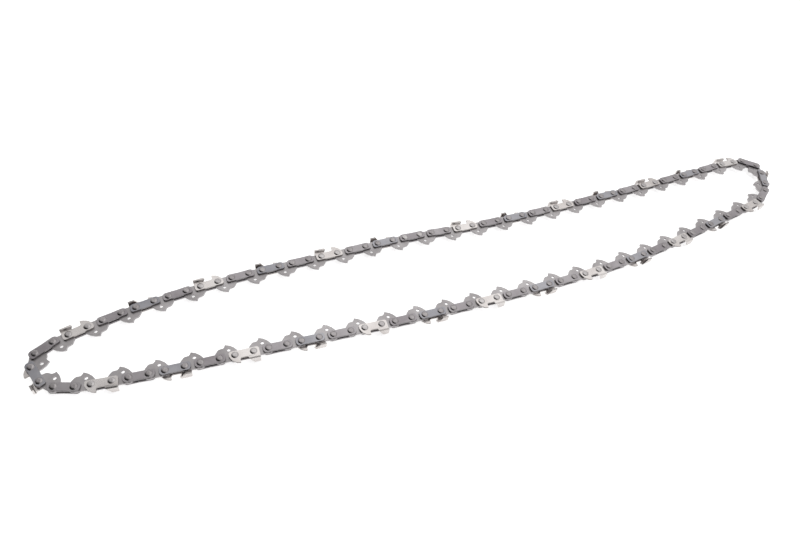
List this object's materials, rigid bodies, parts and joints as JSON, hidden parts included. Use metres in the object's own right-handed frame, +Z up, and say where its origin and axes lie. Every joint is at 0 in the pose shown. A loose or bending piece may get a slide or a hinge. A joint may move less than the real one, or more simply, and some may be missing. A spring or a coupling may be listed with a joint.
{
  "type": "chainsaw chain loop",
  "caption": "Closed saw chain loop of chrome-faced cutters, tie straps and drive links on rivets, lying on its side. It runs round a guide bar and cuts wood.",
  "frame": {"origin": "centre of the loop's outline, on the surface that it lies on", "axes": "+X along the loop's length, +Y across it, +Z up, along every rivet; seen from +Z the chain travels clockwise"},
  "size_m": [0.532, 0.0754, 0.0066],
  "materials": {
    "link_steel": "tumbled, oiled steel",
    "cutter_steel": "satin chrome plating"
  },
  "bodies": {
    "tie_strap_link_01": {"tie_strap_link_01": "link_steel"},
    "right_cutter_link_01": {"right_cutter_link_01": "cutter_steel"},
    "tie_strap_link_02": {"tie_strap_link_02": "link_steel"},
    "left_cutter_link_01": {"left_cutter_link_01": "cutter_steel"},
    "tie_strap_link_03": {"tie_strap_link_03": "link_steel"},
    "right_cutter_link_02": {"right_cutter_link_02": "cutter_steel"},
    "tie_strap_link_04": {"tie_strap_link_04": "link_steel"},
    "left_cutter_link_02": {"left_cutter_link_02": "cutter_steel"},
    "tie_strap_link_05": {"tie_strap_link_05": "link_steel"},
    "right_cutter_link_03": {"right_cutter_link_03": "cutter_steel"},
    "tie_strap_link_06": {"tie_strap_link_06": "link_steel"},
    "left_cutter_link_03": {"left_cutter_link_03": "cutter_steel"},
    "tie_strap_link_07": {"tie_strap_link_07": "link_steel"},
    "right_cutter_link_04": {"right_cutter_link_04": "cutter_steel"},
    "tie_strap_link_08": {"tie_strap_link_08": "link_steel"},
    "left_cutter_link_04": {"left_cutter_link_04": "cutter_steel"},
    "tie_strap_link_09": {"tie_strap_link_09": "link_steel"},
    "right_cutter_link_05": {"right_cutter_link_05": "cutter_steel"},
    "tie_strap_link_10": {"tie_strap_link_10": "link_steel"},
    "left_cutter_link_05": {"left_cutter_link_05": "cutter_steel"},
    "tie_strap_link_11": {"tie_strap_link_11": "link_steel"},
    "right_cutter_link_06": {"right_cutter_link_06": "cutter_steel"},
    "tie_strap_link_12": {"tie_strap_link_12": "link_steel"},
    "left_cutter_link_06": {"left_cutter_link_06": "cutter_steel"},
    "tie_strap_link_13": {"tie_strap_link_13": "link_steel"},
    "right_cutter_link_07": {"right_cutter_link_07": "cutter_steel"},
    "tie_strap_link_14": {"tie_strap_link_14": "link_steel"},
    "left_cutter_link_07": {"left_cutter_link_07": "cutter_steel"},
    "tie_strap_link_15": {"tie_strap_link_15": "link_steel"},
    "right_cutter_link_08": {"right_cutter_link_08": "cutter_steel"},
    "tie_strap_link_16": {"tie_strap_link_16": "link_steel"},
    "left_cutter_link_08": {"left_cutter_link_08": "cutter_steel"},
    "tie_strap_link_17": {"tie_strap_link_17": "link_steel"},
    "right_cutter_link_09": {"right_cutter_link_09": "cutter_steel"},
    "tie_strap_link_18": {"tie_strap_link_18": "link_steel"},
    "left_cutter_link_09": {"left_cutter_link_09": "cutter_steel"},
    "tie_strap_link_19": {"tie_strap_link_19": "link_steel"},
    "right_cutter_link_10": {"right_cutter_link_10": "cutter_steel"},
    "tie_strap_link_20": {"tie_strap_link_20": "link_steel"},
    "left_cutter_link_10": {"left_cutter_link_10": "cutter_steel"},
    "tie_strap_link_21": {"tie_strap_link_21": "link_steel"},
    "right_cutter_link_11": {"right_cutter_link_11": "cutter_steel"},
    "tie_strap_link_22": {"tie_strap_link_22": "link_steel"},
    "left_cutter_link_11": {"left_cutter_link_11": "cutter_steel"},
    "tie_strap_link_23": {"tie_strap_link_23": "link_steel"},
    "right_cutter_link_12": {"right_cutter_link_12": "cutter_steel"},
    "tie_strap_link_24": {"tie_strap_link_24": "link_steel"},
    "left_cutter_link_12": {"left_cutter_link_12": "cutter_steel"},
    "tie_strap_link_25": {"tie_strap_link_25": "link_steel"},
    "right_cutter_link_13": {"right_cutter_link_13": "cutter_steel"},
    "tie_strap_link_26": {"tie_strap_link_26": "link_steel"},
    "left_cutter_link_13": {"left_cutter_link_13": "cutter_steel"},
    "tie_strap_link_27": {"tie_strap_link_27": "link_steel"},
    "right_cutter_link_14": {"right_cutter_link_14": "cutter_steel"},
    "tie_strap_link_28": {"tie_strap_link_28": "link_steel"},
    "left_cutter_link_14": {"left_cutter_link_14": "cutter_steel"},
    "joining_link": {"joining_link": "link_steel"}
  },
  "joints": [
    {"name": "right_cutter_link_01_hinge", "type": "hinge", "parent": "right_cutter_link_01", "child": "tie_strap_link_01", "pos_m": [0.00527, 0.02828, 0.0033], "axis": [0, 0, 1], "range_deg": [0, 1.36]},
    {"name": "tie_strap_link_02_hinge", "type": "hinge", "parent": "tie_strap_link_02", "child": "right_cutter_link_01", "pos_m": [0.0243, 0.02726, 0.0033], "axis": [0, 0, 1], "range_deg": [0, 1.24]},
    {"name": "left_cutter_link_01_hinge", "type": "hinge", "parent": "left_cutter_link_01", "child": "tie_strap_link_02", "pos_m": [0.04333, 0.02663, 0.0033], "axis": [0, 0, 1], "range_deg": [0, 1.19]},
    {"name": "tie_strap_link_03_hinge", "type": "hinge", "parent": "tie_strap_link_03", "child": "left_cutter_link_01", "pos_m": [0.06238, 0.02633, 0.0033], "axis": [0, 0, 1], "range_deg": [0, 1.22]},
    {"name": "right_cutter_link_02_hinge", "type": "hinge", "parent": "right_cutter_link_02", "child": "tie_strap_link_03", "pos_m": [0.08143, 0.02626, 0.0033], "axis": [0, 0, 1], "range_deg": [0, 1.31]},
    {"name": "tie_strap_link_04_hinge", "type": "hinge", "parent": "tie_strap_link_04", "child": "right_cutter_link_02", "pos_m": [0.10048, 0.02632, 0.0033], "axis": [0, 0, 1], "range_deg": [0, 1.47]},
    {"name": "left_cutter_link_02_hinge", "type": "hinge", "parent": "left_cutter_link_02", "child": "tie_strap_link_04", "pos_m": [0.11953, 0.02645, 0.0033], "axis": [0, 0, 1], "range_deg": [0, 1.68]},
    {"name": "tie_strap_link_05_hinge", "type": "hinge", "parent": "tie_strap_link_05", "child": "left_cutter_link_02", "pos_m": [0.13858, 0.02666, 0.0033], "axis": [0, 0, 1], "range_deg": [0, 1.97]},
    {"name": "right_cutter_link_03_hinge", "type": "hinge", "parent": "right_cutter_link_03", "child": "tie_strap_link_05", "pos_m": [0.15763, 0.02698, 0.0033], "axis": [0, 0, 1], "range_deg": [0, 2.37]},
    {"name": "tie_strap_link_06_hinge", "type": "hinge", "parent": "tie_strap_link_06", "child": "right_cutter_link_03", "pos_m": [0.17667, 0.02743, 0.0033], "axis": [0, 0, 1], "range_deg": [0, 2.93]},
    {"name": "left_cutter_link_03_hinge", "type": "hinge", "parent": "left_cutter_link_03", "child": "tie_strap_link_06", "pos_m": [0.19571, 0.02805, 0.0033], "axis": [0, 0, 1], "range_deg": [0, 3.75]},
    {"name": "tie_strap_link_07_hinge", "type": "hinge", "parent": "tie_strap_link_07", "child": "left_cutter_link_03", "pos_m": [0.21474, 0.02887, 0.0033], "axis": [0, 0, 1], "range_deg": [0, 4.96]},
    {"name": "right_cutter_link_04_hinge", "type": "hinge", "parent": "right_cutter_link_04", "child": "tie_strap_link_07", "pos_m": [0.23378, 0.02943, 0.0033], "axis": [0, 0, 1], "range_deg": [0, 6.62]},
    {"name": "tie_strap_link_08_hinge", "type": "hinge", "parent": "tie_strap_link_08", "child": "right_cutter_link_04", "pos_m": [0.25275, 0.02789, 0.0033], "axis": [0, 0, 1], "range_deg": [-13.98, 0]},
    {"name": "left_cutter_link_04_hinge", "type": "hinge", "parent": "left_cutter_link_04", "child": "tie_strap_link_08", "pos_m": [0.25968, 0.01242, 0.0033], "axis": [0, 0, 1], "range_deg": [-11.49, 0]},
    {"name": "tie_strap_link_09_hinge", "type": "hinge", "parent": "tie_strap_link_09", "child": "left_cutter_link_04", "pos_m": [0.24963, -0.00359, 0.0033], "axis": [0, 0, 1], "range_deg": [-13.91, 0]},
    {"name": "right_cutter_link_05_hinge", "type": "hinge", "parent": "right_cutter_link_05", "child": "tie_strap_link_09", "pos_m": [0.23273, -0.01203, 0.0033], "axis": [0, 0, 1], "range_deg": [-9.48, 0]},
    {"name": "tie_strap_link_10_hinge", "type": "hinge", "parent": "tie_strap_link_10", "child": "right_cutter_link_05", "pos_m": [0.21394, -0.01518, 0.0033], "axis": [0, 0, 1], "range_deg": [-0.56, 0]},
    {"name": "left_cutter_link_05_hinge", "type": "hinge", "parent": "left_cutter_link_05", "child": "tie_strap_link_10", "pos_m": [0.19513, -0.01819, 0.0033], "axis": [0, 0, 1], "range_deg": [0, 0.13]},
    {"name": "tie_strap_link_11_hinge", "type": "hinge", "parent": "tie_strap_link_11", "child": "left_cutter_link_05", "pos_m": [0.17633, -0.02129, 0.0033], "axis": [0, 0, 1], "range_deg": [0, 0.72]},
    {"name": "right_cutter_link_06_hinge", "type": "hinge", "parent": "right_cutter_link_06", "child": "tie_strap_link_11", "pos_m": [0.15752, -0.02428, 0.0033], "axis": [0, 0, 1], "range_deg": [0, 1.23]},
    {"name": "tie_strap_link_12_hinge", "type": "hinge", "parent": "tie_strap_link_12", "child": "right_cutter_link_06", "pos_m": [0.13866, -0.02694, 0.0033], "axis": [0, 0, 1], "range_deg": [0, 1.61]},
    {"name": "left_cutter_link_06_hinge", "type": "hinge", "parent": "left_cutter_link_06", "child": "tie_strap_link_12", "pos_m": [0.11973, -0.02909, 0.0033], "axis": [0, 0, 1], "range_deg": [0, 1.84]},
    {"name": "tie_strap_link_13_hinge", "type": "hinge", "parent": "tie_strap_link_13", "child": "left_cutter_link_06", "pos_m": [0.10074, -0.03055, 0.0033], "axis": [0, 0, 1], "range_deg": [0, 1.93]},
    {"name": "right_cutter_link_07_hinge", "type": "hinge", "parent": "right_cutter_link_07", "child": "tie_strap_link_13", "pos_m": [0.08171, -0.03139, 0.0033], "axis": [0, 0, 1], "range_deg": [0, 1.94]},
    {"name": "tie_strap_link_14_hinge", "type": "hinge", "parent": "tie_strap_link_14", "child": "right_cutter_link_07", "pos_m": [0.06266, -0.03175, 0.0033], "axis": [0, 0, 1], "range_deg": [0, 1.92]},
    {"name": "left_cutter_link_07_hinge", "type": "hinge", "parent": "left_cutter_link_07", "child": "tie_strap_link_14", "pos_m": [0.04361, -0.03176, 0.0033], "axis": [0, 0, 1], "range_deg": [0, 1.91]},
    {"name": "tie_strap_link_15_hinge", "type": "hinge", "parent": "tie_strap_link_15", "child": "left_cutter_link_07", "pos_m": [0.02456, -0.03154, 0.0033], "axis": [0, 0, 1], "range_deg": [0, 1.85]},
    {"name": "right_cutter_link_08_hinge", "type": "hinge", "parent": "tie_strap_link_15", "child": "right_cutter_link_08", "pos_m": [0.00552, -0.03113, 0.0033], "axis": [0, 0, 1], "range_deg": [-1.92, 0]},
    {"name": "tie_strap_link_16_hinge", "type": "hinge", "parent": "right_cutter_link_08", "child": "tie_strap_link_16", "pos_m": [-0.01353, -0.03053, 0.0033], "axis": [0, 0, 1], "range_deg": [-1.97, 0]},
    {"name": "left_cutter_link_08_hinge", "type": "hinge", "parent": "tie_strap_link_16", "child": "left_cutter_link_08", "pos_m": [-0.03256, -0.02975, 0.0033], "axis": [0, 0, 1], "range_deg": [-2.05, 0]},
    {"name": "tie_strap_link_17_hinge", "type": "hinge", "parent": "left_cutter_link_08", "child": "tie_strap_link_17", "pos_m": [-0.05159, -0.0288, 0.0033], "axis": [0, 0, 1], "range_deg": [-2.15, 0]},
    {"name": "right_cutter_link_09_hinge", "type": "hinge", "parent": "tie_strap_link_17", "child": "right_cutter_link_09", "pos_m": [-0.0706, -0.02767, 0.0033], "axis": [0, 0, 1], "range_deg": [-2.29, 0]},
    {"name": "tie_strap_link_18_hinge", "type": "hinge", "parent": "right_cutter_link_09", "child": "tie_strap_link_18", "pos_m": [-0.08961, -0.02642, 0.0033], "axis": [0, 0, 1], "range_deg": [-2.43, 0]},
    {"name": "left_cutter_link_09_hinge", "type": "hinge", "parent": "tie_strap_link_18", "child": "left_cutter_link_09", "pos_m": [-0.10861, -0.0251, 0.0033], "axis": [0, 0, 1], "range_deg": [-2.55, 0]},
    {"name": "tie_strap_link_19_hinge", "type": "hinge", "parent": "left_cutter_link_09", "child": "tie_strap_link_19", "pos_m": [-0.12762, -0.02378, 0.0033], "axis": [0, 0, 1], "range_deg": [-2.6, 0]},
    {"name": "right_cutter_link_10_hinge", "type": "hinge", "parent": "tie_strap_link_19", "child": "right_cutter_link_10", "pos_m": [-0.14663, -0.02253, 0.0033], "axis": [0, 0, 1], "range_deg": [-2.53, 0]},
    {"name": "tie_strap_link_20_hinge", "type": "hinge", "parent": "right_cutter_link_10", "child": "tie_strap_link_20", "pos_m": [-0.16565, -0.02141, 0.0033], "axis": [0, 0, 1], "range_deg": [-2.27, 0]},
    {"name": "left_cutter_link_10_hinge", "type": "hinge", "parent": "tie_strap_link_20", "child": "left_cutter_link_10", "pos_m": [-0.18466, -0.02029, 0.0033], "axis": [0, 0, 1], "range_deg": [-1.86, 0]},
    {"name": "tie_strap_link_21_hinge", "type": "hinge", "parent": "left_cutter_link_10", "child": "tie_strap_link_21", "pos_m": [-0.20367, -0.01895, 0.0033], "axis": [0, 0, 1], "range_deg": [-1.39, 0]},
    {"name": "right_cutter_link_11_hinge", "type": "hinge", "parent": "tie_strap_link_21", "child": "right_cutter_link_11", "pos_m": [-0.22264, -0.01723, 0.0033], "axis": [0, 0, 1], "range_deg": [-0.96, 0]},
    {"name": "tie_strap_link_22_hinge", "type": "hinge", "parent": "right_cutter_link_11", "child": "tie_strap_link_22", "pos_m": [-0.24152, -0.01478, 0.0033], "axis": [0, 0, 1], "range_deg": [0, 8.16]},
    {"name": "left_cutter_link_11_hinge", "type": "hinge", "parent": "tie_strap_link_22", "child": "left_cutter_link_11", "pos_m": [-0.258, -0.00593, 0.0033], "axis": [0, 0, 1], "range_deg": [0, 15.43]},
    {"name": "tie_strap_link_23_hinge", "type": "hinge", "parent": "left_cutter_link_11", "child": "tie_strap_link_23", "pos_m": [-0.25891, 0.01206, 0.0033], "axis": [0, 0, 1], "range_deg": [0, 20.25]},
    {"name": "right_cutter_link_12_hinge", "type": "hinge", "parent": "tie_strap_link_23", "child": "right_cutter_link_12", "pos_m": [-0.24126, 0.01891, 0.0033], "axis": [0, 0, 1], "range_deg": [0, 0.59]},
    {"name": "tie_strap_link_24_hinge", "type": "hinge", "parent": "right_cutter_link_12", "child": "tie_strap_link_24", "pos_m": [-0.22267, 0.02308, 0.0033], "axis": [0, 0, 1], "range_deg": [-2.92, 0]},
    {"name": "left_cutter_link_12_hinge", "type": "hinge", "parent": "tie_strap_link_24", "child": "left_cutter_link_12", "pos_m": [-0.20392, 0.02648, 0.0033], "axis": [0, 0, 1], "range_deg": [-2.22, 0]},
    {"name": "tie_strap_link_25_hinge", "type": "hinge", "parent": "left_cutter_link_12", "child": "tie_strap_link_25", "pos_m": [-0.18503, 0.02889, 0.0033], "axis": [0, 0, 1], "range_deg": [-1.86, 0]},
    {"name": "right_cutter_link_13_hinge", "type": "hinge", "parent": "tie_strap_link_25", "child": "right_cutter_link_13", "pos_m": [-0.16605, 0.03046, 0.0033], "axis": [0, 0, 1], "range_deg": [-1.7, 0]},
    {"name": "tie_strap_link_26_hinge", "type": "hinge", "parent": "right_cutter_link_13", "child": "tie_strap_link_26", "pos_m": [-0.14702, 0.03137, 0.0033], "axis": [0, 0, 1], "range_deg": [-1.64, 0]},
    {"name": "left_cutter_link_13_hinge", "type": "hinge", "parent": "tie_strap_link_26", "child": "left_cutter_link_13", "pos_m": [-0.12797, 0.03177, 0.0033], "axis": [0, 0, 1], "range_deg": [-1.63, 0]},
    {"name": "tie_strap_link_27_hinge", "type": "hinge", "parent": "left_cutter_link_13", "child": "tie_strap_link_27", "pos_m": [-0.10892, 0.03177, 0.0033], "axis": [0, 0, 1], "range_deg": [-1.64, 0]},
    {"name": "right_cutter_link_14_hinge", "type": "hinge", "parent": "tie_strap_link_27", "child": "right_cutter_link_14", "pos_m": [-0.08987, 0.03154, 0.0033], "axis": [0, 0, 1], "range_deg": [-1.65, 0]},
    {"name": "tie_strap_link_28_hinge", "type": "hinge", "parent": "right_cutter_link_14", "child": "tie_strap_link_28", "pos_m": [-0.07082, 0.03132, 0.0033], "axis": [0, 0, 1], "range_deg": [-1.66, 0]},
    {"name": "left_cutter_link_14_hinge", "type": "hinge", "parent": "tie_strap_link_28", "child": "left_cutter_link_14", "pos_m": [-0.05177, 0.03127, 0.0033], "axis": [0, 0, 1], "range_deg": [-1.67, 0]},
    {"name": "joining_link_hinge", "type": "hinge", "parent": "left_cutter_link_14", "child": "joining_link", "pos_m": [-0.03273, 0.03097, 0.0033], "axis": [0, 0, 1], "range_deg": [-1.67, 0]}
  ],
  "couplings": [
    {"joint": "right_cutter_link_01_hinge", "follows": "tie_strap_link_15_hinge", "ratio": 0.70414},
    {"joint": "tie_strap_link_02_hinge", "follows": "tie_strap_link_15_hinge", "ratio": 0.63915},
    {"joint": "left_cutter_link_01_hinge", "follows": "tie_strap_link_15_hinge", "ratio": 0.61442},
    {"joint": "tie_strap_link_03_hinge", "follows": "tie_strap_link_15_hinge", "ratio": 0.62903},
    {"joint": "right_cutter_link_02_hinge", "follows": "tie_strap_link_15_hinge", "ratio": 0.67979},
    {"joint": "tie_strap_link_04_hinge", "follows": "tie_strap_link_15_hinge", "ratio": 0.76252},
    {"joint": "left_cutter_link_02_hinge", "follows": "tie_strap_link_15_hinge", "ratio": 0.87639},
    {"joint": "tie_strap_link_05_hinge", "follows": "tie_strap_link_15_hinge", "ratio": 1.0325},
    {"joint": "right_cutter_link_03_hinge", "follows": "tie_strap_link_15_hinge", "ratio": 1.2495},
    {"joint": "tie_strap_link_06_hinge", "follows": "tie_strap_link_15_hinge", "ratio": 1.5558},
    {"joint": "left_cutter_link_03_hinge", "follows": "tie_strap_link_15_hinge", "ratio": 1.9973},
    {"joint": "tie_strap_link_07_hinge", "follows": "tie_strap_link_15_hinge", "ratio": 2.6524},
    {"joint": "right_cutter_link_04_hinge", "follows": "tie_strap_link_15_hinge", "ratio": 3.5492},
    {"joint": "tie_strap_link_08_hinge", "follows": "tie_strap_link_15_hinge", "ratio": -7.5272},
    {"joint": "left_cutter_link_04_hinge", "follows": "tie_strap_link_15_hinge", "ratio": -6.1833},
    {"joint": "tie_strap_link_09_hinge", "follows": "tie_strap_link_15_hinge", "ratio": -7.4901},
    {"joint": "right_cutter_link_05_hinge", "follows": "tie_strap_link_15_hinge", "ratio": -5.0932},
    {"joint": "tie_strap_link_10_hinge", "follows": "tie_strap_link_15_hinge", "ratio": -0.273},
    {"joint": "left_cutter_link_05_hinge", "follows": "tie_strap_link_15_hinge", "ratio": 0.040398},
    {"joint": "tie_strap_link_11_hinge", "follows": "tie_strap_link_15_hinge", "ratio": 0.35848},
    {"joint": "right_cutter_link_06_hinge", "follows": "tie_strap_link_15_hinge", "ratio": 0.63643},
    {"joint": "tie_strap_link_12_hinge", "follows": "tie_strap_link_15_hinge", "ratio": 0.84162},
    {"joint": "left_cutter_link_06_hinge", "follows": "tie_strap_link_15_hinge", "ratio": 0.96259},
    {"joint": "tie_strap_link_13_hinge", "follows": "tie_strap_link_15_hinge", "ratio": 1.0117},
    {"joint": "right_cutter_link_07_hinge", "follows": "tie_strap_link_15_hinge", "ratio": 1.0189},
    {"joint": "tie_strap_link_14_hinge", "follows": "tie_strap_link_15_hinge", "ratio": 1.0101},
    {"joint": "left_cutter_link_07_hinge", "follows": "tie_strap_link_15_hinge", "ratio": 1.0013},
    {"joint": "right_cutter_link_08_hinge", "follows": "tie_strap_link_15_hinge", "ratio": -1.0102},
    {"joint": "tie_strap_link_16_hinge", "follows": "tie_strap_link_15_hinge", "ratio": -1.0351},
    {"joint": "left_cutter_link_08_hinge", "follows": "tie_strap_link_15_hinge", "ratio": -1.0768},
    {"joint": "tie_strap_link_17_hinge", "follows": "tie_strap_link_15_hinge", "ratio": -1.135},
    {"joint": "right_cutter_link_09_hinge", "follows": "tie_strap_link_15_hinge", "ratio": -1.2077},
    {"joint": "tie_strap_link_18_hinge", "follows": "tie_strap_link_15_hinge", "ratio": -1.2856},
    {"joint": "left_cutter_link_09_hinge", "follows": "tie_strap_link_15_hinge", "ratio": -1.3506},
    {"joint": "tie_strap_link_19_hinge", "follows": "tie_strap_link_15_hinge", "ratio": -1.378},
    {"joint": "right_cutter_link_10_hinge", "follows": "tie_strap_link_15_hinge", "ratio": -1.3373},
    {"joint": "tie_strap_link_20_hinge", "follows": "tie_strap_link_15_hinge", "ratio": -1.1994},
    {"joint": "left_cutter_link_10_hinge", "follows": "tie_strap_link_15_hinge", "ratio": -0.97788},
    {"joint": "tie_strap_link_21_hinge", "follows": "tie_strap_link_15_hinge", "ratio": -0.72259},
    {"joint": "right_cutter_link_11_hinge", "follows": "tie_strap_link_15_hinge", "ratio": -0.48869},
    {"joint": "tie_strap_link_22_hinge", "follows": "tie_strap_link_15_hinge", "ratio": 4.3804},
    {"joint": "left_cutter_link_11_hinge", "follows": "tie_strap_link_15_hinge", "ratio": 8.3092},
    {"joint": "tie_strap_link_23_hinge", "follows": "tie_strap_link_15_hinge", "ratio": 10.914},
    {"joint": "right_cutter_link_12_hinge", "follows": "tie_strap_link_15_hinge", "ratio": 0.28854},
    {"joint": "tie_strap_link_24_hinge", "follows": "tie_strap_link_15_hinge", "ratio": -1.5466},
    {"joint": "left_cutter_link_12_hinge", "follows": "tie_strap_link_15_hinge", "ratio": -1.1718},
    {"joint": "tie_strap_link_25_hinge", "follows": "tie_strap_link_15_hinge", "ratio": -0.97703},
    {"joint": "right_cutter_link_13_hinge", "follows": "tie_strap_link_15_hinge", "ratio": -0.88732},
    {"joint": "tie_strap_link_26_hinge", "follows": "tie_strap_link_15_hinge", "ratio": -0.85536},
    {"joint": "left_cutter_link_13_hinge", "follows": "tie_strap_link_15_hinge", "ratio": -0.85214},
    {"joint": "tie_strap_link_27_hinge", "follows": "tie_strap_link_15_hinge", "ratio": -0.85859},
    {"joint": "right_cutter_link_14_hinge", "follows": "tie_strap_link_15_hinge", "ratio": -0.86352},
    {"joint": "tie_strap_link_28_hinge", "follows": "tie_strap_link_15_hinge", "ratio": -0.86644},
    {"joint": "left_cutter_link_14_hinge", "follows": "tie_strap_link_15_hinge", "ratio": -0.87452},
    {"joint": "joining_link_hinge", "follows": "tie_strap_link_15_hinge", "ratio": -0.87055}
  ]
}
